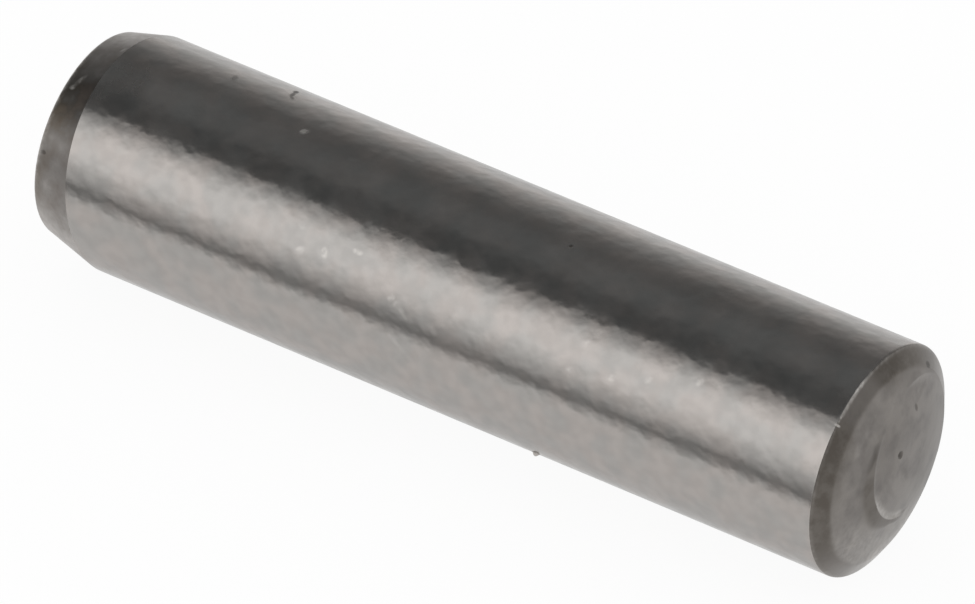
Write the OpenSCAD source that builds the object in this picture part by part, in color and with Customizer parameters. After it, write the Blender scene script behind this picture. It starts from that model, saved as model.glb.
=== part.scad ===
// Parallel dowel pin in hardened steel, turned and ground from one bar: a round shank, a crowned driving face
// with a blunted edge, and a tapered lead that was turned slightly off the axis of the ground shank.
// The pin lies along X with its lead towards -X. The origin is on the axis, at the middle of the shank.

/* [Pin] */
// Diameter of the ground shank
pin_d = 6; // [3:0.5:16]
// Length overall, from crown to crown
pin_length = 24; // [12:1:60]

/* [Driving end] */
// Width of the blunted edge, measured towards the axis
blunt_w = 0.43; // [0.2:0.01:0.7]
// Height of the blunted edge, measured along the pin
blunt_h = 0.27; // [0.1:0.01:0.6]
// Height of the crown inside the blunted edge
face_crown_h = 0.39; // [0.1:0.01:0.8]
// Radius between the shank and the blunted edge
edge_round = 0.08; // [0.02:0.01:0.2]

/* [Lead end] */
// Length of the taper along the pin, without its crown
lead_length = 1.31; // [0.5:0.01:3]
// Angle between the taper and its axis
lead_angle = 15; // [8:1:25]
// Height of the crown on the end of the taper
lead_crown_h = 0.62; // [0.1:0.01:0.9]
// Radius between the taper and its crown
lead_round = 0.15; // [0.02:0.01:0.3]
// Distance from the shank's axis to the taper's axis
lead_runout = 0.12; // [0:0.01:0.3]
// Direction of that distance, as an angle about X from the top of the pin
lead_runout_turn = 15; // [0:5:355]

/* [Hidden] */
$fn = 96;
// Straight steps in each small round
round_steps = 6;
// Decimal grid, in parts of a millimetre, on which a crown's edge lies
grid = 1000;
// How far the taper is drawn outside the shank, beyond its runout
taper_past = 1;

pin_r = pin_d / 2;
face_r = pin_r - blunt_w;
lead_r = pin_r - lead_length * tan(lead_angle);
shank_length = pin_length - lead_crown_h - lead_length - blunt_h - face_crown_h;
shank_end = shank_length / 2;

// Radius of the sphere whose cap has this height over a disc of this radius
function crown_radius(disc_r, height) = (disc_r * disc_r + height * height) / (2 * height);

// Point at a distance and a direction from a centre
function polar(centre, distance, angle) = centre + distance * [cos(angle), sin(angle)];

// Points along an arc, up to the one before its last
function arc(centre, radius, from, to) =
    [for (i = [0 : round_steps - 1]) polar(centre, radius, from + (to - from) * i / round_steps)];

// Half section of a crown: the cap of a sphere from its edge, a radius and a height, to its top
module crown_section(edge, top) {
    sphere_r = crown_radius(edge.x, top - edge.y);
    intersection() {
        translate([0, top - sphere_r]) circle(sphere_r);
        translate([0, edge.y]) square([edge.x, sphere_r]);
    }
}

// Half section of the shank with its driving end up; it runs on below, past the lead
module shank_section() {
    facing = atan2(blunt_w, blunt_h);
    round_centre = [pin_r - edge_round, shank_end - edge_round * tan(facing / 2)];
    crown_edge = [face_r, shank_end + blunt_h];
    polygon(concat(
        [[0, -pin_length], [pin_r, -pin_length]],
        arc(round_centre, edge_round, 0, facing),
        [polar(round_centre, edge_round, facing), crown_edge, [0, crown_edge.y]]
    ));
    crown_section(crown_edge, crown_edge.y + face_crown_h);
}

// Half section of the lead with its tip up; zero is where its taper is as wide as the shank, and below that
// the taper runs on outwards, so that it clears the shank all round
module lead_section() {
    tip = lead_length + lead_crown_h;
    crown_r = crown_radius(lead_r, lead_crown_h);
    crown_centre = [0, tip - crown_r];
    // Direction in which the round meets the crown, seen from the centre of either
    across = pin_r * cos(lead_angle) - crown_centre.y * sin(lead_angle) - lead_round;
    meeting = lead_angle + acos(across / (crown_r - lead_round));
    round_centre = polar(crown_centre, crown_r - lead_round, meeting);
    crown_edge = [for (c = polar(crown_centre, crown_r, meeting)) round(c * grid) / grid];
    widest = lead_runout + taper_past;
    widest_at = -widest / tan(lead_angle);
    polygon(concat(
        [[0, -pin_length], [pin_r + widest, -pin_length], [pin_r + widest, widest_at]],
        arc(round_centre, lead_round, lead_angle, meeting),
        [crown_edge, [0, crown_edge.y]]
    ));
    crown_section(crown_edge, tip);
}

module dowel_pin() {
    color([0.56, 0.55, 0.54])
        intersection() {
            rotate([0, 90, 0])
                rotate_extrude() shank_section();
            rotate([lead_runout_turn, 0, 0])
                translate([-shank_end, 0, lead_runout])
                rotate([0, -90, 0])
                rotate_extrude() lead_section();
        }
}

dowel_pin();
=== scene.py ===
from math import acos, atan2, cos, pi, radians, sin, sqrt, tan

import bpy
import numpy as np
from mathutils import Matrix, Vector


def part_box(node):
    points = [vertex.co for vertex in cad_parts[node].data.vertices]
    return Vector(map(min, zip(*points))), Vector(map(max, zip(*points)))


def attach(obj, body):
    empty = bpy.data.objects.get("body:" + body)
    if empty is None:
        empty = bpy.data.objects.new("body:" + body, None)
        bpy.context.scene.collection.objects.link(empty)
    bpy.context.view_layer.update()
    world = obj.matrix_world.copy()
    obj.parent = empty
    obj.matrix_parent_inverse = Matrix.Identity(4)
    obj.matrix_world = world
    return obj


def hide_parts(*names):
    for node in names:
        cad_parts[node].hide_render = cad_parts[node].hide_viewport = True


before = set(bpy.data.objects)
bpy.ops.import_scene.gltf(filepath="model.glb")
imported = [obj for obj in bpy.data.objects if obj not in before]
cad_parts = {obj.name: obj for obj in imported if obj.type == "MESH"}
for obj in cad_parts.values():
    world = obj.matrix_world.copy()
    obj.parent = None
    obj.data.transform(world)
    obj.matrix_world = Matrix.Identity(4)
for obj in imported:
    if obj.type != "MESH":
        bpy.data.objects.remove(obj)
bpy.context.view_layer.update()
scene = bpy.context.scene

# The looks of a hardened and ground dowel pin. It lies along X with its lead towards -X and its driving face
# towards +X, on its side on the floor. Lengths are in metres, but millimetres where a mark or a pattern is
# given its own.
MM = 0.001

# ---- Sizes of the pin ------------------------------------------------------------------------------------
pin_low, pin_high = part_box("dowel_pin")
shank_r = min(-pin_low.y, pin_high.y, -pin_low.z, pin_high.z)
blunt_w = 0.43 * MM
blunt_h = 0.27 * MM
face_crown_h = 0.39 * MM
edge_round = 0.08 * MM
face_round = 0.5 * MM
lead_length = 1.31 * MM
lead_angle = radians(15)
lead_crown_h = 0.62 * MM
lead_round = 0.15 * MM
lead_runout = 0.12 * MM
lead_runout_turn = radians(15)

face_start = pin_high.x - blunt_h - face_crown_h
lead_start = pin_low.x + lead_length + lead_crown_h
blunt_slope = atan2(blunt_w, blunt_h)
lead_r = shank_r - lead_length * tan(lead_angle)
on_axis = (0, 0, 0)
lead_axis = (0, -lead_runout * sin(lead_runout_turn), lead_runout * cos(lead_runout_turn))


def crown_radius(disc_r, height):
    """Radius of the sphere whose cap is this high on a disc of this radius."""
    return (disc_r ** 2 + height ** 2) / (2 * height)


face_r = shank_r - blunt_w
face_ball_r = crown_radius(face_r, face_crown_h)
face_ball_x = pin_high.x - face_ball_r
lead_ball_r = crown_radius(lead_r, lead_crown_h)
lead_ball_depth = lead_length + lead_crown_h - lead_ball_r
rim_x = face_start - edge_round * tan(blunt_slope / 2)

# ---- Camera ----------------------------------------------------------------------------------------------
view_azimuth = radians(33.68)
view_elevation = radians(38.57)
view_distance = 452.4 * MM
aim_right = -0.428 * MM
aim_up = 0.103 * MM
lens_length = 690
sensor_width = 36


def set_camera():
    back = Vector((sin(view_azimuth) * cos(view_elevation),
                   -cos(view_azimuth) * cos(view_elevation),
                   sin(view_elevation)))
    right = Vector((cos(view_azimuth), sin(view_azimuth), 0))
    up = back.cross(right)
    place = back * view_distance + right * aim_right + up * aim_up
    bpy.ops.object.camera_add(location=place, rotation=back.to_track_quat("Z", "Y").to_euler())
    camera = bpy.context.object
    camera.name = "camera"
    camera.data.lens = lens_length
    camera.data.sensor_width = sensor_width
    scene.camera = camera


# ---- Hand tools for modelling ----------------------------------------------------------------------------
def deselect_all():
    if bpy.context.object and bpy.context.object.mode == "EDIT":
        bpy.ops.object.mode_set(mode="OBJECT")
    bpy.ops.object.select_all(action="DESELECT")


def vertex_places(piece):
    """Every vertex of the piece, as rows of x, y and z."""
    bpy.ops.object.mode_set(mode="OBJECT")
    flat = np.empty(len(piece.data.vertices) * 3)
    piece.data.vertices.foreach_get("co", flat)
    return flat.reshape(-1, 3)


def face_middles(piece):
    bpy.ops.object.mode_set(mode="OBJECT")
    flat = np.empty(len(piece.data.polygons) * 3)
    piece.data.polygons.foreach_get("center", flat)
    return flat.reshape(-1, 3)


def edge_ends(piece):
    """The numbers of the two vertices of every edge."""
    flat = np.empty(len(piece.data.edges) * 2, int)
    piece.data.edges.foreach_get("vertices", flat)
    return flat.reshape(-1, 2)


def select_vertices(piece, chosen):
    """Go to edit mode with these vertices selected, and the edges between them."""
    bpy.ops.object.mode_set(mode="OBJECT")
    mesh = piece.data
    mesh.vertices.foreach_set("select", chosen)
    mesh.edges.foreach_set("select", chosen[edge_ends(piece)].all(axis=1))
    mesh.polygons.foreach_set("select", np.zeros(len(mesh.polygons), bool))
    bpy.ops.object.mode_set(mode="EDIT")


def select_edges(piece, chosen):
    bpy.ops.object.mode_set(mode="EDIT")
    bpy.ops.mesh.select_mode(type="EDGE")
    bpy.ops.mesh.select_all(action="DESELECT")
    bpy.ops.object.mode_set(mode="OBJECT")
    piece.data.edges.foreach_set("select", chosen)
    bpy.ops.object.mode_set(mode="EDIT")


def select_faces(piece, chosen):
    bpy.ops.object.mode_set(mode="EDIT")
    bpy.ops.mesh.select_mode(type="FACE")
    bpy.ops.mesh.select_all(action="DESELECT")
    bpy.ops.object.mode_set(mode="OBJECT")
    piece.data.polygons.foreach_set("select", chosen)
    bpy.ops.object.mode_set(mode="EDIT")


def arc(centre, radius, start, end, steps):
    """Points (x, r) round a corner. The angle is 0 straight out from the axis and grows towards the end."""
    turns = [start + (end - start) * step / steps for step in range(steps + 1)]
    return [(centre[0] + radius * sin(turn), centre[1] + radius * cos(turn)) for turn in turns]


def straight(start, end, steps):
    """Points (x, r) evenly along a line."""
    return [(start[0] + (end[0] - start[0]) * step / steps,
             start[1] + (end[1] - start[1]) * step / steps) for step in range(steps + 1)]


def rounded_crown(point, slope, ball_x, ball_r, radius, rings):
    """Points from a slope through this point, round the edge and over a crown to the axis."""
    reach = point[1] * cos(slope) + (point[0] - ball_x) * sin(slope)
    meeting = slope + acos((reach - radius) / (ball_r - radius))
    centre = (ball_x + (ball_r - radius) * sin(meeting), (ball_r - radius) * cos(meeting))
    corner = arc(centre, radius, slope, meeting, round_steps)
    return corner + arc((ball_x, 0), ball_r, meeting, pi / 2, rings)[1:]


def turn_profile(points, axis, way):
    """Extrude the selected ring through points (x, r) about the axis, and close it at the last point."""
    for (x, r), (next_x, next_r) in zip(points[:-2], points[1:-1]):
        bpy.ops.mesh.extrude_edges_move(TRANSFORM_OT_translate={"value": (way * (next_x - x), 0, 0)})
        bpy.ops.transform.resize(value=(1, next_r / r, next_r / r), center_override=axis)
    last_step = points[-1][0] - points[-2][0]
    bpy.ops.mesh.extrude_edges_move(TRANSFORM_OT_translate={"value": (way * last_step, 0, 0)})
    bpy.ops.mesh.merge(type="CENTER")


# ---- The pin's form --------------------------------------------------------------------------------------
sides = 192
ring_pitch = 0.15 * MM
round_steps = 6
blunt_steps = 6
face_rings = 50
taper_rings = 10
lead_rings = 24
spare = 2 * MM
just_under = 0.01 * MM
same_place = 0.0001 * MM
smooth_angle = radians(14)
# How far past its slanted edge the taper's first full ring is, as a multiple of the edge's own slant
first_ring_past = 1.05


def turned_shank():
    """The ground shank as an open tube, cut on a slant at the lead end where the taper runs out of true."""
    deselect_all()
    length = face_start - lead_start + spare
    bpy.ops.mesh.primitive_cylinder_add(vertices=sides, radius=shank_r, depth=length, end_fill_type="NOTHING",
                                        rotation=(0, pi / 2, 0), location=(face_start - length / 2, 0, 0))
    bpy.ops.object.transform_apply(location=True, rotation=True, scale=True)
    pin = bpy.context.object
    pin.name = "ground_pin"
    slant = Vector(lead_axis) / (shank_r * tan(lead_angle))
    bpy.ops.object.mode_set(mode="EDIT")
    bpy.ops.mesh.select_mode(type="EDGE")
    bpy.ops.mesh.select_all(action="SELECT")
    bpy.ops.mesh.bisect(plane_co=(lead_start, 0, 0), plane_no=Vector((1, 0, 0)) + slant, clear_inner=True)
    return pin


def turned_driving_end(pin):
    """The rounded edge, the blunted edge and the crowned face."""
    corner = arc((rim_x, shank_r - edge_round), edge_round, 0, blunt_slope, round_steps)
    crown = rounded_crown((face_start, shank_r), blunt_slope, face_ball_x, face_ball_r, face_round,
                          face_rings)
    blunt = straight(corner[-1], crown[0], blunt_steps)
    select_vertices(pin, vertex_places(pin)[:, 0] > face_start - just_under)
    bpy.ops.transform.translate(value=(rim_x - face_start, 0, 0))
    turn_profile(corner + blunt[1:] + crown[1:], on_axis, 1)


def turned_lead(pin):
    """The taper, its rounded edge and its crown, about an axis a little off the shank's."""
    crown = rounded_crown((0, shank_r), lead_angle, lead_ball_depth, lead_ball_r, lead_round, lead_rings)
    first_x = first_ring_past * lead_runout / tan(lead_angle)
    first = (first_x, shank_r - first_x * tan(lead_angle))
    taper = straight(first, crown[0], taper_rings)
    select_vertices(pin, vertex_places(pin)[:, 0] < lead_start + spare / 2)
    bpy.ops.mesh.extrude_edges_move(TRANSFORM_OT_translate={"value": (0, 0, 0)})
    bpy.ops.transform.resize(value=(0, first[1] / shank_r, first[1] / shank_r), center_override=on_axis)
    bpy.ops.transform.translate(value=(lead_start - first_x, lead_axis[1], lead_axis[2]))
    turn_profile(taper + crown[1:], lead_axis, -1)


def ring_shank(pin):
    """Rings along the shank, so that dents and scratches find enough faces."""
    ends = vertex_places(pin)[edge_ends(pin)]
    long_edges = np.abs(ends[:, 0, 0] - ends[:, 1, 0]) > (face_start - lead_start) / 2
    select_edges(pin, long_edges)
    rings = round((face_start - lead_start) / ring_pitch)
    bpy.ops.mesh.subdivide_edgering(number_cuts=rings, interpolation="LINEAR")


# ---- Places on the pin, and the true round at each -------------------------------------------------------
def true_shank(places):
    """For each place, the middle it should be round about, and its distance from it."""
    return places * np.array((1, 0, 0)), np.full(len(places), shank_r)


def true_lead(places):
    middles = places * np.array((1, 0, 0)) + np.array(lead_axis)
    return middles, shank_r - (lead_start - places[:, 0]) * tan(lead_angle)


def true_face(places):
    middles = np.zeros_like(places) + np.array((face_ball_x, 0, 0))
    return middles, np.full(len(places), face_ball_r)


def on_shank(x, angle, radius=shank_r, axis=on_axis, form=true_shank):
    """A place by x in millimetres and its angle from +Y towards +Z, with its two directions and its form."""
    turn = radians(angle)
    outward = Vector((0, cos(turn), sin(turn)))
    middle = Vector((x * MM, 0, 0)) + Vector(axis) + outward * radius
    return middle, Vector((1, 0, 0)), Vector((0, -sin(turn), cos(turn))), form


def on_lead(x, angle):
    return on_shank(x, angle, shank_r - (lead_start - x * MM) * tan(lead_angle), lead_axis, true_lead)


def on_blunted_edge(share, angle):
    """A place on the blunted edge, by its share of the way from the rim to the face."""
    x = (face_start + share * blunt_h) / MM
    middle, ahead, around, _ = on_shank(x, angle, shank_r - share * blunt_w)
    inward = Vector((0, around.z, -around.y)) * -blunt_w
    return middle, (inward + ahead * blunt_h).normalized(), around, None


def on_face(y, z):
    """A place on the driving face, by y and z in millimetres."""
    x = face_ball_x + sqrt(face_ball_r ** 2 - (y * MM) ** 2 - (z * MM) ** 2)
    return Vector((x, y * MM, z * MM)), Vector((0, 1, 0)), Vector((0, 0, 1)), true_face


def is_lead(places):
    """Which places lie beyond the taper's slanted edge."""
    slant = places[:, 1:] @ np.array(lead_axis[1:]) / (shank_r * tan(lead_angle))
    return places[:, 0] + slant < lead_start


def belongs(places, form):
    """Which places may be brought to this form: the taper short of its rounding, the crown, or else all
    but the lead."""
    if form is true_lead:
        return is_lead(places) & (places[:, 0] > lead_start - lead_length + lead_round)
    if form is true_face:
        return (places[:, 0] > face_start) & (np.hypot(places[:, 1], places[:, 2]) < face_r - just_under)
    return ~is_lead(places)


# ---- Marks on the pin ------------------------------------------------------------------------------------
# How far beyond a mark its faces are still divided, and how much faster than its depth its dirt and painted
# shade deepen
patch_margin = 0.1 * MM
dirt_and_shade_spread = 1.5


class Mark:
    """A small mark: its length, width and depth in millimetres (below 0 it stands proud), its turn in
    degrees, its dirt and painted shade, its bare metal and painted highlight, and how often its faces are
    divided."""

    def __init__(self, place, length, width, depth=0.0, turn=0.0, dirt_and_shade=0.0, bare_and_highlight=0.0, cuts=4):
        self.middle, self.first, self.second, self.form = place
        self.length = length * MM
        self.width = width * MM
        self.depth = depth * MM
        self.turn = radians(turn)
        self.dirt_and_shade = dirt_and_shade
        self.bare_and_highlight = bare_and_highlight
        self.cuts = cuts

    def near(self, places):
        reach = max(self.length, self.width) / 2 + patch_margin
        return np.linalg.norm(places - np.array(self.middle), axis=1) < reach

    def bowl(self, places):
        """1 at the middle of the mark and 0 from its rim on."""
        offset = places - np.array(self.middle)
        first = offset @ np.array(self.first)
        second = offset @ np.array(self.second)
        along = first * cos(self.turn) + second * sin(self.turn)
        across = second * cos(self.turn) - first * sin(self.turn)
        away = (along / (self.length / 2)) ** 2 + (across / (self.width / 2)) ** 2
        return np.where(self.near(places), np.clip(1 - away, 0, 1), 0)


marks = {
    "gouge_head": Mark(on_shank(-6.995, 63.8), 0.34, 0.16, 0.008, turn=75, dirt_and_shade=0.8),
    "gouge_middle": Mark(on_shank(-6.93, 68.6), 0.42, 0.13, 0.006, turn=75, dirt_and_shade=0.7),
    "gouge_tail": Mark(on_shank(-6.81, 73.0), 0.36, 0.12, 0.005, turn=48, dirt_and_shade=0.5),
    "rust_speck": Mark(on_shank(-8.39, 75.9), 0.18, 0.36, turn=-15, dirt_and_shade=0.35),
    "pale_speck": Mark(on_shank(-5.736, 93.3), 0.31, 0.22, turn=-55, bare_and_highlight=2.0),
    "pin_hole": Mark(on_shank(2.10, 95.8), 0.13, 0.13, 0.018, dirt_and_shade=0.6),
    # The glint marks are painted highlights, laid as bare-metal colour.
    "glint_a": Mark(on_shank(-4.26, 148.7), 0.34, 0.22, turn=-40, bare_and_highlight=0.38),
    "glint_b": Mark(on_shank(-3.60, 145.5), 0.34, 0.22, turn=70, bare_and_highlight=0.42),
    "glint_c": Mark(on_shank(-2.77, 139.2), 0.36, 0.17, bare_and_highlight=0.42),
    "glint_d": Mark(on_shank(-4.40, 137.9), 0.30, 0.22, bare_and_highlight=0.15),
    "glint_e": Mark(on_shank(-1.53, 153.1), 0.28, 0.20, turn=-50, bare_and_highlight=0.35),
    "glint_f": Mark(on_shank(-1.37, 154.9), 0.24, 0.16, turn=-50, bare_and_highlight=0.3),
    "glint_g": Mark(on_shank(3.79, 138.2), 0.32, 0.18, turn=-60, bare_and_highlight=0.35),
    "glint_h": Mark(on_shank(3.60, 152.2), 0.32, 0.20, turn=-30, bare_and_highlight=0.3),
    "glint_i": Mark(on_shank(4.76, 147.9), 0.34, 0.20, turn=-30, bare_and_highlight=0.3),
    "glint_j": Mark(on_shank(5.69, 142.3), 0.30, 0.20, turn=-40, bare_and_highlight=0.25),
    "glint_k": Mark(on_shank(6.98, 134.0), 0.32, 0.20, turn=-60, bare_and_highlight=0.35),
    "glint_l": Mark(on_shank(-3.96, 124.3), 0.40, 0.28, turn=-50, bare_and_highlight=0.3),
    "glint_m": Mark(on_shank(-2.48, 125.5), 0.26, 0.18, turn=-50, bare_and_highlight=0.2),
    "glint_n": Mark(on_shank(-1.86, 127.3), 0.28, 0.20, turn=-40, bare_and_highlight=0.25),
    "glint_o": Mark(on_shank(-4.15, 97.6), 0.30, 0.13, turn=-20, bare_and_highlight=0.35),
    "streak": Mark(on_shank(-1.12, 158.2), 0.50, 0.14, turn=40, bare_and_highlight=0.3),
    "pale_blotch": Mark(on_shank(-1.77, 81.0), 0.9, 0.35, turn=10, bare_and_highlight=0.12, cuts=1),
    "lead_side_stain": Mark(on_shank(-10.55, 108.0), 1.5, 2.3, dirt_and_shade=0.2, cuts=0),
    "scuff": Mark(on_shank(-1.2, 173.5), 1.3, 0.16, turn=36, bare_and_highlight=0.12, cuts=2),
    "lead_side_spot": Mark(on_shank(-10.81, 138.2), 0.26, 0.26, dirt_and_shade=0.05, cuts=2),
    "burr": Mark(on_shank(2.42, -139.6), 0.19, 0.17, -0.085, bare_and_highlight=0.6, cuts=6),
    "lead_scratch": Mark(on_lead(-11.69, 114.3), 0.56, 0.16, 0.004, turn=-67, bare_and_highlight=0.45),
    "lead_scratch_end": Mark(on_lead(-11.775, 118.5), 0.2, 0.16, 0.002, bare_and_highlight=0.7),
    "lead_streak": Mark(on_lead(-11.24, 88.1), 0.24, 0.08, 0.003, turn=-72, bare_and_highlight=0.35),
    "lead_spot": Mark(on_lead(-11.84, 156.0), 0.17, 0.13, 0.008, dirt_and_shade=0.5),
    "face_dot": Mark(on_face(0.886, 1.291), 0.30, 0.15, 0.012, turn=105, dirt_and_shade=0.4),
    "face_streak": Mark(on_face(-1.06, 0.98), 1.0, 0.24, 0.004, turn=51, dirt_and_shade=0.2, cuts=0),
    "face_speck": Mark(on_face(0.28, 1.53), 0.24, 0.16, 0.003, turn=100, dirt_and_shade=0.12, cuts=0),
    "face_line_a": Mark(on_face(0.15, -0.14), 1.3, 0.2, 0.003, turn=-60, dirt_and_shade=0.08, cuts=0),
    "face_line_b": Mark(on_face(-0.46, -0.27), 1.1, 0.2, 0.003, turn=-61, dirt_and_shade=0.1, cuts=0),
    "face_line_c": Mark(on_face(1.15, 1.5), 0.9, 0.22, 0.003, turn=17, dirt_and_shade=0.1, cuts=0),
    # face_shade is painted shade over the right of the face, laid through the dirt weight.
    "face_shade": Mark(on_face(1.7, -0.3), 2.6, 3.6, dirt_and_shade=0.12, cuts=0),
    "face_lump_a": Mark(on_face(-1.18, 1.69), 0.6, 0.4, -0.004, turn=60, bare_and_highlight=0.1, cuts=0),
    "face_lump_b": Mark(on_face(-1.5, 1.49), 0.6, 0.4, -0.004, turn=60, bare_and_highlight=0.1, cuts=0),
    "face_nick": Mark(on_blunted_edge(0.93, 45.7), 0.2, 0.3, 0.004, dirt_and_shade=0.5, cuts=2),
    "rim_hook": Mark(on_blunted_edge(0.10, 128.2), 0.18, 0.07, bare_and_highlight=1.6, cuts=3),
}

# The driving face keeps what the parting tool left: a raised lip, a ring off the axis that is strong at the
# lower left, and a small pit near the middle of the face. Shade is painted in a crescent outside the lip and
# a highlight on its inner side.
lip_middle = (0.75 * MM, 0.15 * MM)
lip_ring_r = 1.83 * MM
lip_height = 0.028 * MM
lip_inner_w = 0.08 * MM
lip_outer_w = 0.2 * MM
lip_highlight_w = 0.24 * MM
lip_highlight = 0.26
lip_full = 0.6
lip_zone = 0.18 * MM
lip_cuts = 2
pit_place = (0.02 * MM, 0.457 * MM)
pit_r = 0.115 * MM
pit_depth = 0.045 * MM
pit_dirt = 0.6
pit_cuts = 3

# Where scale, wear and the face's paler patches start, are full and end, by their distance from the axis, and
# the width of the painted highlight on the lead's rounding
scale_start_r = 2.36 * MM
scale_full_r = 2.62 * MM
dull_start_r = 1.9 * MM
rim_rub_r = 2.85 * MM
pale_start_r = 1.4 * MM
pale_full_r = 1.9 * MM
pale_end_r = 2.45 * MM
lead_even_r = 1.2 * MM
lead_highlight_w = 0.12 * MM

# How much scale is left where no sector adds to it, how strong the painted shade in the lip's crescent is,
# how much the least worn places of the rim are worn, and how much painted highlight the lead's rounding keeps
# at least
scale_least = 0.2
crescent_shade = 0.9
lead_end_scale = 0.35
rim_rub_least = 0.15
lead_highlight_least = 0.1

# The rub across the rim's rounding, from its start to full and from its end back to full, as shares of the
# rounding, and the patches that it is broken into: how many waves there are, their mean and their swing
rim_rub_in = (0.2, 0.45)
rim_rub_out = (1.05, 0.8)
rim_patch_waves = (61, 143)
rim_patch_mean = 0.6
rim_patch_swing = 0.4

# Sectors round the pin, from +Y towards +Z: how strong each is, where it starts and ends, and how far it
# fades beyond either end, in degrees. The lip's and those of the painted shade in its crescent are round the
# lip's own middle, and lip_widening is in millimetres.
lip_sectors = ((1.0, 200, 250, 20), (0.3, 145, 200, 20), (0.5, 45, 80, 20))
lip_widening = (0.35, 175, 215, 25)
shaded_crescent_sectors = ((1.0, 175, 250, 15), (0.5, 140, 180, 20))
scale_sector = (0.8, 70, 185, 50)
dull_sector = (0.7, 85, 160, 40)
thin_sector = (0.65, 100, 122, 10)
rubbed_sector = (0.4, 35, 95, 12)
# The lead's sectors are painted shade on one side of the taper.
lead_shade_sectors = ((0.56, 92, 175, 30), (0.42, 116, 131, 16))
pale_sectors = ((0.05, 90, 240, 30), (0.11, 212, 285, 25))
foot_sector = (0.4, 258, 295, 20)
rim_sectors = ((1.0, 103, 124, 4), (0.5, 85, 103, 10))
# The last sector places the painted highlight on the lead's rounding.
lead_highlight_sector = (0.28, 100, 165, 20)

# Faces larger than this haven't been divided for another mark
whole_shank_area = 0.004 * MM ** 2
whole_end_area = 0.0005 * MM ** 2


def in_sector(angles, strength, start, end, fade):
    """The strength between two angles in degrees, fading to 0 beyond either."""
    away = np.abs((angles - (start + end) / 2 + 180) % 360 - 180)
    return strength * np.clip(((end - start) / 2 + fade - away) / fade, 0, 1)


def strongest(angles, *sectors):
    return np.max([in_sector(angles, *sector) for sector in sectors], axis=0)


def together(angles, *sectors):
    return np.sum([in_sector(angles, *sector) for sector in sectors], axis=0)


def soft_step(value, start, end):
    share = np.clip((value - start) / (end - start), 0, 1)
    return share * share * (3 - 2 * share)


def round_axis(places):
    """How far each place is from the shank's axis, and its angle round it in degrees."""
    return np.hypot(places[:, 1], places[:, 2]), np.degrees(np.arctan2(places[:, 2], places[:, 1])) % 360


def from_lip(places):
    """How far each place is outside the lip's ring, its angle round it, and whether it is on the crown."""
    y = places[:, 1] - lip_middle[0]
    z = places[:, 2] - lip_middle[1]
    return np.hypot(y, z) - lip_ring_r, np.degrees(np.arctan2(z, y)) % 360, belongs(places, true_face)


def turning_lip(places):
    """The lip's height, the painted shade in a crescent outside it and the painted highlight on its inner
    side.
    """
    off_lip, angle, on_crown = from_lip(places)
    strength = strongest(angle, *lip_sectors)
    outer_w = lip_outer_w + strongest(angle, lip_widening) * MM
    outside = np.clip(1 - off_lip / outer_w, 0, 1)
    inside = np.clip(1 + off_lip / lip_inner_w, 0, 1)
    lip = np.where(off_lip > 0, outside, inside) * strength * on_crown
    crescent_strength = strongest(angle, *shaded_crescent_sectors)
    shaded_crescent = soft_step(outside, 0, lip_full) * (off_lip > 0) * crescent_strength * on_crown
    highlighted = soft_step(1 + off_lip / lip_highlight_w, 0, lip_full) * (off_lip <= 0) * strength ** 2
    return lip, shaded_crescent, highlighted * on_crown * lip_highlight


def centre_pit(places):
    """1 at the middle of the pit and 0 from its rim on."""
    away = np.hypot(places[:, 1] - pit_place[0], places[:, 2] - pit_place[1]) / pit_r
    return np.clip(1 - away ** 2, 0, 1) * (places[:, 0] > face_start)


def scale_and_shade(places, shaded_crescent):
    """How much dark scale and painted shade there is: on the driving end scale most on its edge, with painted
    shade in the crescent outside the lip, and on the lead painted shade most on one side and scale over the
    middle of its crown.
    """
    off_axis, angle = round_axis(places)
    edge = scale_least + strongest(angle, scale_sector)
    edge = edge * soft_step(off_axis, scale_start_r, scale_full_r)
    upper_left = soft_step(off_axis, dull_start_r, scale_full_r) * strongest(angle, dull_sector)
    rubbed = soft_step(off_axis, rim_rub_r, shank_r) * strongest(angle, rubbed_sector)
    thin = np.maximum(strongest(angle, thin_sector), rubbed)
    # The crescent outside the lip adds painted shade to the scale.
    scale = np.maximum(np.maximum(edge, upper_left), crescent_shade * shaded_crescent) - thin
    scale = np.where(places[:, 0] > face_start - edge_round, np.clip(scale, 0, 1), 0)
    outward = soft_step(off_axis, lead_even_r, lead_r)
    # On the lead the sectors paint shade on one side.
    lead = together(angle, *lead_shade_sectors) * outward + lead_end_scale * (1 - outward)
    return np.where(places[:, 0] < lead_start + lead_runout, lead, scale)


def paler_face_patches(places):
    """Paler metal on the left of the face and round its foot."""
    off_axis, angle = round_axis(places)
    left = soft_step(off_axis, pale_start_r, pale_full_r) * soft_step(off_axis, scale_full_r, pale_end_r)
    left = left * together(angle, *pale_sectors)
    foot = soft_step(off_axis, pale_full_r, scale_full_r) * strongest(angle, foot_sector)
    return np.maximum(left, foot) * (places[:, 0] > face_start)


def worn_rim(places):
    """Bare metal where the scale has rubbed off the rim."""
    angle = round_axis(places)[1]
    share = (places[:, 0] - rim_x) / edge_round
    across = soft_step(share, *rim_rub_in) * soft_step(share, *rim_rub_out)
    waves = [np.sin(count * np.radians(angle)) for count in rim_patch_waves]
    patches = rim_patch_mean + rim_patch_swing * waves[0] * waves[1]
    return across * np.maximum(strongest(angle, *rim_sectors), rim_rub_least) * patches


def lead_rim_highlight(places):
    """A painted highlight on the rounding at the end of the taper."""
    off_lead_axis = np.hypot(places[:, 1] - lead_axis[1], places[:, 2] - lead_axis[2])
    across = soft_step(lead_start - places[:, 0], lead_length - lead_highlight_w, lead_length)
    across = across * soft_step(off_lead_axis, lead_r - lead_highlight_w, lead_r - lead_highlight_w / 2)
    return across * (lead_highlight_least + strongest(round_axis(places)[1], lead_highlight_sector))


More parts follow.
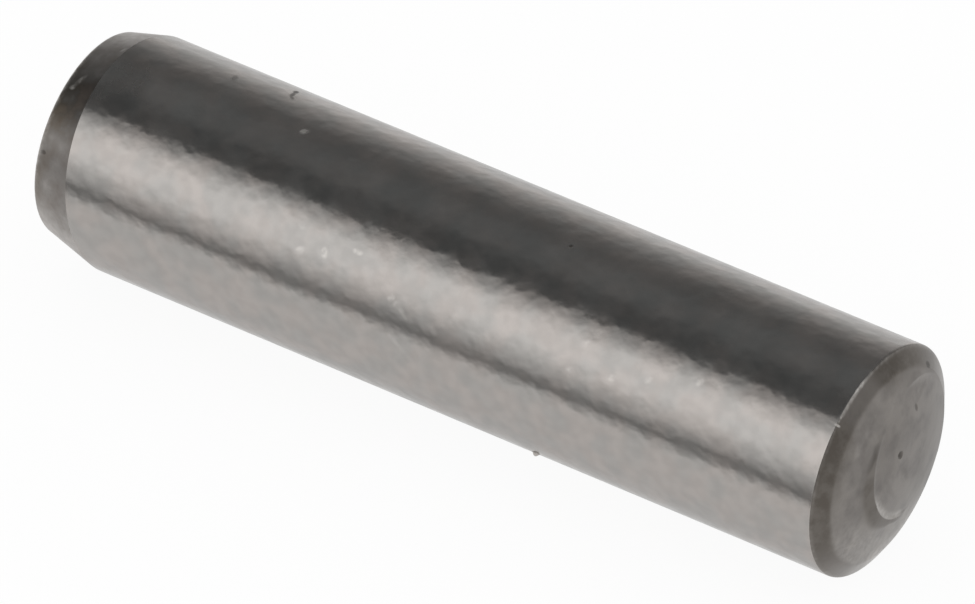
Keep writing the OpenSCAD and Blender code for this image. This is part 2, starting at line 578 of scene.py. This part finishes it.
def still_whole(pin, form):
    """Which faces are as large as they were made, so that marks that overlap divide them only once."""
    areas = np.empty(len(pin.data.polygons))
    pin.data.polygons.foreach_get("area", areas)
    return areas > (whole_shank_area if form in (true_shank, true_lead) else whole_end_area)


def refine(pin, chosen_faces, cuts, form):
    """Divide these faces and bring the new vertices to the true round of the form."""
    if not cuts:
        return
    select_faces(pin, chosen_faces)
    bpy.ops.mesh.subdivide(number_cuts=cuts)
    bpy.ops.object.mode_set(mode="OBJECT")
    if form is None:
        return
    touched = np.empty(len(pin.data.vertices), bool)
    pin.data.vertices.foreach_get("select", touched)
    places = vertex_places(pin)
    middles, radii = form(places[touched])
    arms = places[touched] - middles
    places[touched] = middles + arms * (radii / np.linalg.norm(arms, axis=1))[:, None]
    pin.data.vertices.foreach_set("co", places.ravel())
    pin.data.update()


def displace(pin, name, weights, height):
    """Push the vertices out along their normals by the weight times the height."""
    group = pin.vertex_groups.new(name=name)
    for index in np.flatnonzero(weights):
        group.add([int(index)], float(weights[index]), "REPLACE")
    push = pin.modifiers.new(name, "DISPLACE")
    push.vertex_group = name
    push.mid_level = 0
    push.strength = height
    bpy.ops.object.modifier_apply(modifier=name)
    pin.vertex_groups.remove(pin.vertex_groups[name])


def paint(pin, name, weights):
    """Keep the weights as an attribute that the steel's finish reads."""
    layer = pin.data.attributes.new(name, "FLOAT", "POINT")
    layer.data.foreach_set("value", weights.astype(np.float32))


def mark_pin(pin):
    """Divide the faces under each mark, then sink or raise them and paint the dirt, bare metal and scale,
    with painted shade and painted highlights among them.
    """
    off_lip, _, on_crown = from_lip(face_middles(pin))
    refine(pin, on_crown & (np.abs(off_lip) < lip_zone), lip_cuts, true_face)
    pit = Mark(on_face(pit_place[0] / MM, pit_place[1] / MM), 2 * pit_r / MM, 2 * pit_r / MM, cuts=pit_cuts)
    for mark in list(marks.values()) + [pit]:
        middles = face_middles(pin)
        chosen = mark.near(middles) & belongs(middles, mark.form) & still_whole(pin, mark.form)
        refine(pin, chosen, mark.cuts, mark.form)
    places = vertex_places(pin)
    lip, shaded_crescent, lip_highlight_weights = turning_lip(places)
    sunk = centre_pit(places) * pit_depth
    proud = lip * lip_height
    dirt_and_shade = centre_pit(places) * pit_dirt
    bare_and_highlight = np.max([worn_rim(places), paler_face_patches(places), lead_rim_highlight(places), lip_highlight_weights], axis=0)
    for mark in marks.values():
        bowl = mark.bowl(places)
        sunk = np.maximum(sunk, bowl * mark.depth)
        proud = np.maximum(proud, bowl * -mark.depth)
        dirt_and_shade = np.maximum(dirt_and_shade, np.clip(dirt_and_shade_spread * bowl, 0, 1) * mark.dirt_and_shade)
        bare_and_highlight = np.maximum(bare_and_highlight, bowl * mark.bare_and_highlight)
    deepest = max(sunk.max(), proud.max())
    displace(pin, "sunk_marks", sunk / deepest, -deepest)
    displace(pin, "proud_marks", proud / deepest, deepest)
    paint(pin, "dirt_and_shade", dirt_and_shade)
    paint(pin, "bare_and_highlight", bare_and_highlight)
    paint(pin, "scale_and_shade", scale_and_shade(places, shaded_crescent))


def ground_pin():
    pin = turned_shank()
    turned_driving_end(pin)
    turned_lead(pin)
    ring_shank(pin)
    bpy.ops.mesh.select_all(action="SELECT")
    bpy.ops.mesh.remove_doubles(threshold=same_place)
    bpy.ops.mesh.normals_make_consistent(inside=False)
    mark_pin(pin)
    bpy.ops.object.mode_set(mode="OBJECT")
    bpy.ops.object.shade_smooth_by_angle(angle=smooth_angle)
    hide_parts("dowel_pin")
    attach(pin, "root")
    return pin


# ---- Node helpers ----------------------------------------------------------------------------------------
def node(tree, kind, inputs=None, **settings):
    """Add a node, give its settings, and set or link its inputs by name or number."""
    made = tree.nodes.new(kind)
    for name, value in settings.items():
        setattr(made, name, value)
    for name, value in (inputs or {}).items():
        if isinstance(value, bpy.types.NodeSocket):
            tree.links.new(value, made.inputs[name])
        else:
            made.inputs[name].default_value = value
    return made


def math(tree, operation, a, b=0.0, c=0.0, clamp=False):
    return node(tree, "ShaderNodeMath", {0: a, 1: b, 2: c}, operation=operation, use_clamp=clamp).outputs[0]


def ramp(tree, value, low, high, to_low=0.0, to_high=1.0):
    """Map a value smoothly from one range to another."""
    made = node(tree, "ShaderNodeMapRange", {"Value": value, "From Min": low, "From Max": high,
                                             "To Min": to_low, "To Max": to_high},
                interpolation_type="SMOOTHSTEP")
    return made.outputs["Result"]


def mix_color(tree, factor, a, b, blend="MIX"):
    made = node(tree, "ShaderNodeMix", data_type="RGBA", blend_type=blend)
    for name, value in (("Factor", factor), ("A", a), ("B", b)):
        socket = [s for s in made.inputs if s.name == name and s.enabled][0]
        if isinstance(value, bpy.types.NodeSocket):
            tree.links.new(value, socket)
        else:
            socket.default_value = value
    return [s for s in made.outputs if s.enabled][0]


def group_of(name, inputs, outputs):
    """A shader node group with these named inputs and outputs, and its two ends."""
    group = bpy.data.node_groups.new(name, "ShaderNodeTree")
    for label, kind, value in inputs:
        socket = group.interface.new_socket(name=label, in_out="INPUT", socket_type=kind)
        if value is not None:
            socket.default_value = value
    for label, kind in outputs:
        group.interface.new_socket(name=label, in_out="OUTPUT", socket_type=kind)
    return group, group.nodes.new("NodeGroupInput").outputs, group.nodes.new("NodeGroupOutput").inputs


def use_group(tree, group, **inputs):
    made = tree.nodes.new("ShaderNodeGroup")
    made.node_tree = group
    for name, value in inputs.items():
        socket = made.inputs[name.replace("_", " ").capitalize()]
        if isinstance(value, bpy.types.NodeSocket):
            tree.links.new(value, socket)
        else:
            socket.default_value = value
    return made.outputs


# ---- Effects that the steels share -----------------------------------------------------------------------
def grinding_lay():
    """Fine streaks that run round the pin on a helix. Lengths are in millimetres."""
    group, inside, out = group_of(
        "grinding_lay",
        [("Place", "NodeSocketVector", None), ("Twist", "NodeSocketFloat", 0.33),
         ("Fineness", "NodeSocketFloat", 6.0), ("Stretch", "NodeSocketFloat", 0.3),
         ("Depth", "NodeSocketFloat", 0.001)],
        [("Height", "NodeSocketFloat"), ("Streak", "NodeSocketFloat")])
    x = node(group, "ShaderNodeSeparateXYZ", {0: inside["Place"]}).outputs["X"]
    turned = node(group, "ShaderNodeVectorRotate",
                  {"Vector": inside["Place"], "Angle": math(group, "MULTIPLY", x, inside["Twist"])},
                  rotation_type="X_AXIS").outputs[0]
    scale = node(group, "ShaderNodeCombineXYZ", {"X": inside["Stretch"], "Y": 1.0, "Z": 1.0}).outputs[0]
    stretched = node(group, "ShaderNodeVectorMath", {0: turned, 1: scale}, operation="MULTIPLY").outputs[0]
    noise = node(group, "ShaderNodeTexNoise", {"Vector": stretched, "Scale": inside["Fineness"],
                                               "Detail": 2.5, "Roughness": 0.5, "Distortion": 0.4}).outputs[0]
    group.links.new(math(group, "MULTIPLY", noise, inside["Depth"]), out["Height"])
    group.links.new(noise, out["Streak"])
    return group


def turning_marks():
    """Fine grooves in rings round the middle of the turning. Lengths are in millimetres."""
    group, inside, out = group_of(
        "turning_marks",
        [("Place", "NodeSocketVector", None), ("Fineness", "NodeSocketFloat", 5.0),
         ("Wander", "NodeSocketFloat", 0.6), ("Depth", "NodeSocketFloat", 0.002)],
        [("Height", "NodeSocketFloat"), ("Groove", "NodeSocketFloat")])
    parts = node(group, "ShaderNodeSeparateXYZ", {0: inside["Place"]}).outputs
    squares = math(group, "ADD", math(group, "POWER", parts["Y"], 2.0), math(group, "POWER", parts["Z"], 2.0))
    away = math(group, "MULTIPLY", math(group, "SQRT", squares), inside["Fineness"])
    ringed = node(group, "ShaderNodeCombineXYZ", {"X": away,
                                                  "Y": math(group, "MULTIPLY", parts["Y"], inside["Wander"]),
                                                  "Z": math(group, "MULTIPLY", parts["Z"], inside["Wander"])})
    noise = node(group, "ShaderNodeTexNoise", {"Vector": ringed.outputs[0], "Scale": 1.0,
                                               "Detail": 2.0, "Roughness": 0.5, "Distortion": 0.3}).outputs[0]
    group.links.new(math(group, "MULTIPLY", noise, inside["Depth"]), out["Height"])
    group.links.new(noise, out["Groove"])
    return group


def handling_mottle():
    """Soft uneven patches from handling and oil, at several sizes. Lengths are in millimetres."""
    group, inside, out = group_of(
        "handling_mottle",
        [("Place", "NodeSocketVector", None), ("Patch", "NodeSocketFloat", 1.2),
         ("Grain", "NodeSocketFloat", 0.5), ("Depth", "NodeSocketFloat", 0.006)],
        [("Height", "NodeSocketFloat"), ("Patches", "NodeSocketFloat")])
    noise = node(group, "ShaderNodeTexNoise", {"Vector": inside["Place"], "Scale": inside["Patch"],
                                               "Detail": 4.0, "Roughness": inside["Grain"]}).outputs[0]
    group.links.new(math(group, "MULTIPLY", noise, inside["Depth"]), out["Height"])
    group.links.new(noise, out["Patches"])
    return group


# ---- Materials -------------------------------------------------------------------------------------------
white = (1, 1, 1, 1)
shank_edge_tint = (0.8, 0.8, 0.8, 1)
# The next colour is bare metal's and the painted highlights'.
bare_and_highlight_color = (0.60, 0.575, 0.545, 1)
# The next colour is dirt's and the painted shade's.
dirt_and_shade_color = (0.035, 0.03, 0.025, 1)
shank_grey = (0.354, 0.341, 0.326, 1)
shank_warm = (0.372, 0.3455, 0.326, 1)
lead_dark = (0.064, 0.062, 0.059, 1)
lead_brown = (0.118, 0.102, 0.090, 1)
lead_end_tint = (1.02, 0.98, 0.88, 1)
lead_clean = (0.367, 0.344, 0.325, 1)
turned_dark = (0.133, 0.1225, 0.1145, 1)
turned_pale = (0.1735, 0.1605, 0.149, 1)
face_pale = (0.194, 0.1795, 0.1655, 1)
scale_and_shade_dark = (0.105, 0.093, 0.081, 1)
scale_and_shade_brown = (0.139, 0.126, 0.113, 1)

# A noise's mean, and the ranges of it that a ramp spreads out: the narrower, the harder its patches' edges
noise_mean = 0.5
soft_patches = (0.3, 0.7)
plain_patches = (0.35, 0.65)
ragged_patches = (0.32, 0.68)
hard_patches = (0.38, 0.62)

# A quarter turn, so that the gloss spreads along the pin, across the marks of grinding
gloss_turn = 0.25

# Bare metal and painted highlights are broken up by ragged patches, and dull the steel where they are nearly
# whole; dirt and painted shade dull it too
ragged_size = 7.0
broken_gain = 0.6
dirt_and_shade_dulling = 0.25
scratch_dulling = 0.4
scratch_bare = (0.85, 1.0)

# The shank: its roughness by its lumps, how far they and the wide patches shade it, and its film of oil,
# which comes from two noises and makes the steel a little less metallic
lump_roughness = (0.24, 0.18)
lump_shading = (0.966, 1.034)
patch_shading = (0.98, 1.02)
film_wide_share = 1.5
film_range = (1.0, 1.5)
film_metallic = (0.965, 1.0)

# The lead: where it browns, as shares of its length, its roughness, and how far stains shift its scale and
# painted shade
browned_shares = (0.3, 1.0)
lead_roughness = (0.38, 0.46)
lead_stain = 1.2

# The driving end: how uneven its scale and painted shade are, where they show, its roughness, and where it
# starts on the rounding
scale_uneven = 0.7
scale_range = (0.05, 0.95)
end_roughness = (0.34, 0.42)
end_start = 0.55


def steel(name, anisotropy, edge_tint=white):
    """A new steel with its shader's fixed values, its tree, its shader and places in millimetres."""
    made = bpy.data.materials.new(name)
    made.use_nodes = True
    tree = made.node_tree
    shader = tree.nodes["Principled BSDF"]
    shader.inputs["Metallic"].default_value = 1
    shader.inputs["Anisotropic"].default_value = anisotropy
    shader.inputs["Anisotropic Rotation"].default_value = gloss_turn
    shader.inputs["Specular Tint"].default_value = edge_tint
    round_pin = node(tree, "ShaderNodeTangent", direction_type="RADIAL", axis="X").outputs[0]
    tree.links.new(round_pin, shader.inputs["Tangent"])
    metres = node(tree, "ShaderNodeTexCoord").outputs["Object"]
    place = node(tree, "ShaderNodeMapping", {"Vector": metres, "Scale": (1 / MM,) * 3}).outputs[0]
    return made, tree, shader, place


def painted(tree, name):
    """What was painted on the pin under this name."""
    return node(tree, "ShaderNodeAttribute", attribute_name=name).outputs["Fac"]


def finish_steel(tree, shader, place, mottle, color, roughness, height, broken=0.75):
    """Join colour, roughness and height in millimetres to the shader, with dirt and painted shade, and with
    broken-up bare metal and painted highlights.
    """
    ragged = use_group(tree, mottle, place=place, patch=ragged_size)["Patches"]
    left = ramp(tree, ragged, *ragged_patches, 1.0 - broken, 1.0 + broken_gain * broken)
    # The bare weight holds bare metal and painted highlights, the dirt weight dirt and painted shade.
    bare_and_highlight = math(tree, "MULTIPLY", painted(tree, "bare_and_highlight"), left, clamp=True)
    dirt_and_shade = painted(tree, "dirt_and_shade")
    color = mix_color(tree, bare_and_highlight, color, bare_and_highlight_color)
    color = mix_color(tree, dirt_and_shade, color, dirt_and_shade_color)
    scratched = ramp(tree, bare_and_highlight, *scratch_bare, 0.0, scratch_dulling)
    dulled = math(tree, "ADD", math(tree, "MULTIPLY", dirt_and_shade, dirt_and_shade_dulling), scratched)
    rough = math(tree, "ADD", roughness, dulled)
    bump = node(tree, "ShaderNodeBump", {"Height": height, "Distance": MM, "Strength": 1.0}).outputs[0]
    tree.links.new(color, shader.inputs["Base Color"])
    tree.links.new(rough, shader.inputs["Roughness"])
    tree.links.new(bump, shader.inputs["Normal"])


def ground_shank_steel(lay, mottle):
    """The shank as it was ground, with lumps and patches from handling and a broken film of oil."""
    made, tree, shader, place = steel("ground_shank_steel", anisotropy=0.6, edge_tint=shank_edge_tint)
    fine = use_group(tree, lay, place=place, twist=0.33, fineness=5.5, stretch=0.8, depth=0.0006)
    lumps = use_group(tree, mottle, place=place, patch=3.0, grain=0.3, depth=0.0125)
    broad = use_group(tree, mottle, place=place, patch=0.6, grain=0.35, depth=0.025)
    wide = use_group(tree, mottle, place=place, patch=1.3, grain=0.4)["Patches"]
    color = mix_color(tree, ramp(tree, wide, *plain_patches), shank_grey, shank_warm)
    shading = math(tree, "MULTIPLY", ramp(tree, lumps["Patches"], *soft_patches, *lump_shading),
                   ramp(tree, wide, *soft_patches, *patch_shading))
    film = use_group(tree, mottle, place=place, patch=2.2, grain=0.6)["Patches"]
    wide_film = use_group(tree, mottle, place=place, patch=0.75, grain=0.5)["Patches"]
    filmed = math(tree, "MULTIPLY_ADD", wide_film, film_wide_share, film)
    tree.links.new(ramp(tree, filmed, *film_range, *film_metallic), shader.inputs["Metallic"])
    color = mix_color(tree, 1.0, color, shading, "MULTIPLY")
    rough = ramp(tree, lumps["Patches"], *soft_patches, *lump_roughness)
    height = math(tree, "ADD", math(tree, "ADD", fine["Height"], lumps["Height"]), broad["Height"])
    finish_steel(tree, shader, place, mottle, color, rough, height)
    return made


def heat_tinted_steel(lay, mottle):
    """The lead, left as it was hardened: dull and browned, the more so towards its end, with painted shade on
    one side of its taper.
    """
    made, tree, shader, place = steel("heat_tinted_steel", anisotropy=0.3)
    fine = use_group(tree, lay, place=place, twist=0.1, fineness=6.0, stretch=1.5, depth=0.003)
    broad = use_group(tree, mottle, place=place, patch=2.0, depth=0.010)
    color = mix_color(tree, ramp(tree, broad["Patches"], *plain_patches), lead_dark, lead_brown)
    x = node(tree, "ShaderNodeSeparateXYZ", {0: place}).outputs["X"]
    browned_x = [(lead_start - share * lead_length) / MM for share in browned_shares]
    browned = ramp(tree, x, *browned_x)
    color = mix_color(tree, browned, color, lead_end_tint, "MULTIPLY")
    off_mean = math(tree, "SUBTRACT", broad["Patches"], noise_mean)
    # The scale weight also carries the painted shade on one side of the taper.
    stain_and_shade = math(tree, "MULTIPLY_ADD", off_mean, lead_stain, painted(tree, "scale_and_shade"), clamp=True)
    color = mix_color(tree, stain_and_shade, lead_clean, color)
    rough = ramp(tree, fine["Streak"], *soft_patches, *lead_roughness)
    height = math(tree, "ADD", fine["Height"], broad["Height"])
    finish_steel(tree, shader, place, mottle, color, rough, height)
    return made


def driving_end_steel(turning, mottle):
    """The driving face as it was turned, with dark scale left on the blunted edge and round the face, and
    painted shade in the crescent outside the lip.
    """
    made, tree, shader, place = steel("driving_end_steel", anisotropy=0.4)
    off_middle = node(tree, "ShaderNodeMapping",
                      {"Vector": place, "Location": (0, -lip_middle[0] / MM, -lip_middle[1] / MM)}).outputs[0]
    rings = use_group(tree, turning, place=off_middle, fineness=1.8, wander=1.2, depth=0.006)
    broad = use_group(tree, mottle, place=place, patch=1.3, grain=0.5, depth=0.012)
    patchy = use_group(tree, mottle, place=place, patch=2.6, grain=0.6)["Patches"]
    turned = mix_color(tree, ramp(tree, rings["Groove"], *soft_patches), turned_dark, turned_pale)
    face = mix_color(tree, ramp(tree, broad["Patches"], *hard_patches), turned, face_pale)
    # The scale's colours also paint the shade in the crescent outside the lip.
    scale = mix_color(tree, ramp(tree, patchy, *plain_patches), scale_and_shade_dark, scale_and_shade_brown)
    off_mean = math(tree, "SUBTRACT", patchy, noise_mean)
    uneven = math(tree, "MULTIPLY_ADD", off_mean, scale_uneven, painted(tree, "scale_and_shade"))
    color = mix_color(tree, ramp(tree, uneven, *scale_range), face, scale)
    rough = ramp(tree, uneven, 0.0, 1.0, *end_roughness)
    height = math(tree, "ADD", rings["Height"], broad["Height"])
    finish_steel(tree, shader, place, mottle, color, rough, height, broken=0.4)
    return made


def dress(pin):
    """Give each form its own steel: the shank, the lead and the driving end."""
    lay = grinding_lay()
    mottle = handling_mottle()
    turning = turning_marks()
    pin.data.materials.append(ground_shank_steel(lay, mottle))
    pin.data.materials.append(heat_tinted_steel(lay, mottle))
    pin.data.materials.append(driving_end_steel(turning, mottle))
    middles = face_middles(pin)
    kinds = np.zeros(len(middles), int)
    kinds[is_lead(middles)] = 1
    kinds[middles[:, 0] > rim_x + end_start * edge_round] = 2
    pin.data.polygons.foreach_set("material_index", kinds)


# ---- Studio ----------------------------------------------------------------------------------------------
floor_size = 4
floor_white = 0.9
floor_glow = 0.93

# The flag's grey is darkest between its near edge, where it pales, and its far end, where it is paler again.
# The fades are by the near edge's distance over the distance of the place.
flag_near = -11.5 * MM
flag_far = -300 * MM
flag_length = 1.2
flag_lift = 0.05 * MM
flag_darkest = 0.26
flag_near_fade = (0.58, 1.12)
flag_near_grey = 0.95
flag_far_fade = (0.57, 0.15)
flag_far_grey = 0.66

# A softbox is brightest across its middle. The fades go from -1 at its bottom to 1 at its top.
box_distance = 0.35
box_lower_fade = (-1.0, -0.2)
box_upper_fade = (1.0, 0.15)
front_box_faces = Vector((-0.12, 0, 0))
side_box_faces = Vector((0, 0, 0))

# What the steel mirrors by the height of the direction, from 0 at the horizon to 1 overhead. It cools from
# cool_start on, over cool_span, and is dimmed round one direction.
sky_levels = ((0.0, 0.88), (0.03, 0.78), (0.27, 0.46), (0.40, 0.315), (0.47, 0.235), (0.62, 0.153),
              (0.72, 0.145), (0.80, 0.172), (0.85, 0.19), (0.90, 0.178), (0.97, 0.15))
cool_start = 0.65
cool_span = 0.15
cool_red = 0.05
cool_blue = 0.025
dimmed_way = (-0.43, -0.25, 0.867)
dimmed_range = (0.93, 1.0)
dimmed_level = 0.55


def seen_directly(tree):
    """1 for camera, glossy and transmission rays, so that metal shows the same background as the camera."""
    path = node(tree, "ShaderNodeLightPath").outputs
    seen = math(tree, "ADD", path["Is Camera Ray"], path["Is Glossy Ray"], clamp=True)
    return math(tree, "ADD", seen, path["Is Transmission Ray"], clamp=True)


def lay_floor():
    deselect_all()
    bpy.ops.mesh.primitive_plane_add(size=floor_size, location=(0, 0, pin_low.z))
    floor = bpy.context.object
    floor.name = "floor"
    paper = bpy.data.materials.new("white_paper")
    paper.use_nodes = True
    tree = paper.node_tree
    shader = tree.nodes["Principled BSDF"]
    shader.inputs["Base Color"].default_value = (floor_white, floor_white, floor_white, 1)
    shader.inputs["Roughness"].default_value = 1
    shader.inputs["Specular IOR Level"].default_value = 0
    glow = node(tree, "ShaderNodeEmission", {"Color": white, "Strength": 1.0})
    share = math(tree, "MULTIPLY", seen_directly(tree), floor_glow)
    both = node(tree, "ShaderNodeMixShader", {0: share, 1: shader.outputs[0], 2: glow.outputs[0]})
    tree.links.new(both.outputs[0], tree.nodes["Material Output"].inputs["Surface"])
    floor.data.materials.append(paper)


def lay_flag():
    """A graded black card on the floor in front of the pin, which draws the dark line along the shank."""
    deselect_all()
    depth = flag_near - flag_far
    bpy.ops.mesh.primitive_plane_add(size=1, location=(0, flag_near - depth / 2, pin_low.z + flag_lift))
    flag = bpy.context.object
    flag.name = "black_flag"
    flag.scale = (flag_length, depth, 1)
    bpy.ops.object.transform_apply(location=True, rotation=True, scale=True)
    flag.visible_camera = False
    flag.visible_diffuse = False
    flag.visible_shadow = False
    card = bpy.data.materials.new("graded_card")
    card.use_nodes = True
    tree = card.node_tree
    place = node(tree, "ShaderNodeTexCoord").outputs["Object"]
    y = node(tree, "ShaderNodeSeparateXYZ", {0: place}).outputs["Y"]
    share = math(tree, "DIVIDE", flag_near, y)
    grey = math(tree, "MAXIMUM", ramp(tree, share, *flag_near_fade, flag_darkest, flag_near_grey),
                ramp(tree, share, *flag_far_fade, flag_darkest, flag_far_grey))
    glow = node(tree, "ShaderNodeEmission", {"Color": grey, "Strength": 1.0})
    tree.links.new(glow.outputs[0], tree.nodes["Material Output"].inputs["Surface"])
    flag.data.materials.append(card)


def toward(azimuth, elevation):
    """The direction at this azimuth from +X towards +Y and this elevation, in degrees."""
    a = radians(azimuth)
    e = radians(elevation)
    return Vector((cos(a) * cos(e), sin(a) * cos(e), sin(e)))


def hang_softbox(name, faced, way, size, levels):
    """A soft light: the place it faces, the way it hangs from there, its size, and its levels at the bottom,
    the middle and the top."""
    deselect_all()
    bpy.ops.mesh.primitive_plane_add(size=1)
    box = bpy.context.object
    box.name = name
    box.scale = (size[0], size[1], 1)
    bpy.ops.object.transform_apply(location=True, rotation=True, scale=True)
    box.location = faced + way * box_distance
    box.rotation_euler = (box.location - faced).to_track_quat("Z", "Y").to_euler()
    box.visible_camera = False
    cloth = bpy.data.materials.new(name + "_cloth")
    cloth.use_nodes = True
    tree = cloth.node_tree
    spot = node(tree, "ShaderNodeTexCoord").outputs["Object"]
    y = node(tree, "ShaderNodeSeparateXYZ", {0: spot}).outputs["Y"]
    up = math(tree, "MULTIPLY", y, 2 / size[1])
    bottom, middle, top = levels
    lower = ramp(tree, up, *box_lower_fade, bottom, middle)
    upper = ramp(tree, up, *box_upper_fade, top, middle)
    strength = math(tree, "MINIMUM", lower, upper)
    glow = node(tree, "ShaderNodeEmission", {"Color": white, "Strength": strength})
    tree.links.new(glow.outputs[0], tree.nodes["Material Output"].inputs["Surface"])
    box.data.materials.append(cloth)


def set_world():
    """Pale at the horizon and dark overhead where the steel mirrors it, and even white for the rest."""
    world = bpy.data.worlds.new("studio")
    world.use_nodes = True
    scene.world = world
    tree = world.node_tree
    way = node(tree, "ShaderNodeTexCoord").outputs["Generated"]
    z = node(tree, "ShaderNodeSeparateXYZ", {0: way}).outputs["Z"]
    sky = node(tree, "ShaderNodeValToRGB", {0: z})
    stops = sky.color_ramp.elements
    for place, level in sky_levels[2:]:
        stops.new(place)
    for stop, (place, level) in zip(stops, sky_levels):
        cool = min(max(place - cool_start, 0) / cool_span, 1)
        stop.position = place
        stop.color = (level * (1 - cool_red * cool), level, level * (1 + cool_blue * cool), 1)
    near_dimmed = node(tree, "ShaderNodeVectorMath", {0: way, 1: dimmed_way}, operation="DOT_PRODUCT")
    dim = ramp(tree, near_dimmed.outputs["Value"], *dimmed_range, 1.0, dimmed_level)
    shade = node(tree, "ShaderNodeCombineColor", {0: dim, 1: dim, 2: dim}).outputs[0]
    mirrored = mix_color(tree, 1.0, sky.outputs[0], shade, "MULTIPLY")
    glossy = node(tree, "ShaderNodeLightPath").outputs["Is Glossy Ray"]
    tree.links.new(mix_color(tree, glossy, white, mirrored), tree.nodes["Background"].inputs["Color"])


# ---- Make it all -----------------------------------------------------------------------------------------
set_camera()
pin = ground_pin()
dress(pin)
lay_floor()
lay_flag()
hang_softbox("front_softbox", front_box_faces, toward(-90, 32.2), size=(0.9, 0.45), levels=(0.78, 1.39, 0.45))
hang_softbox("side_softbox", side_box_faces, toward(8, 38), size=(0.22, 0.2), levels=(0.9, 1.1, 0.9))
set_world()
scene.view_settings.view_transform = "Standard"
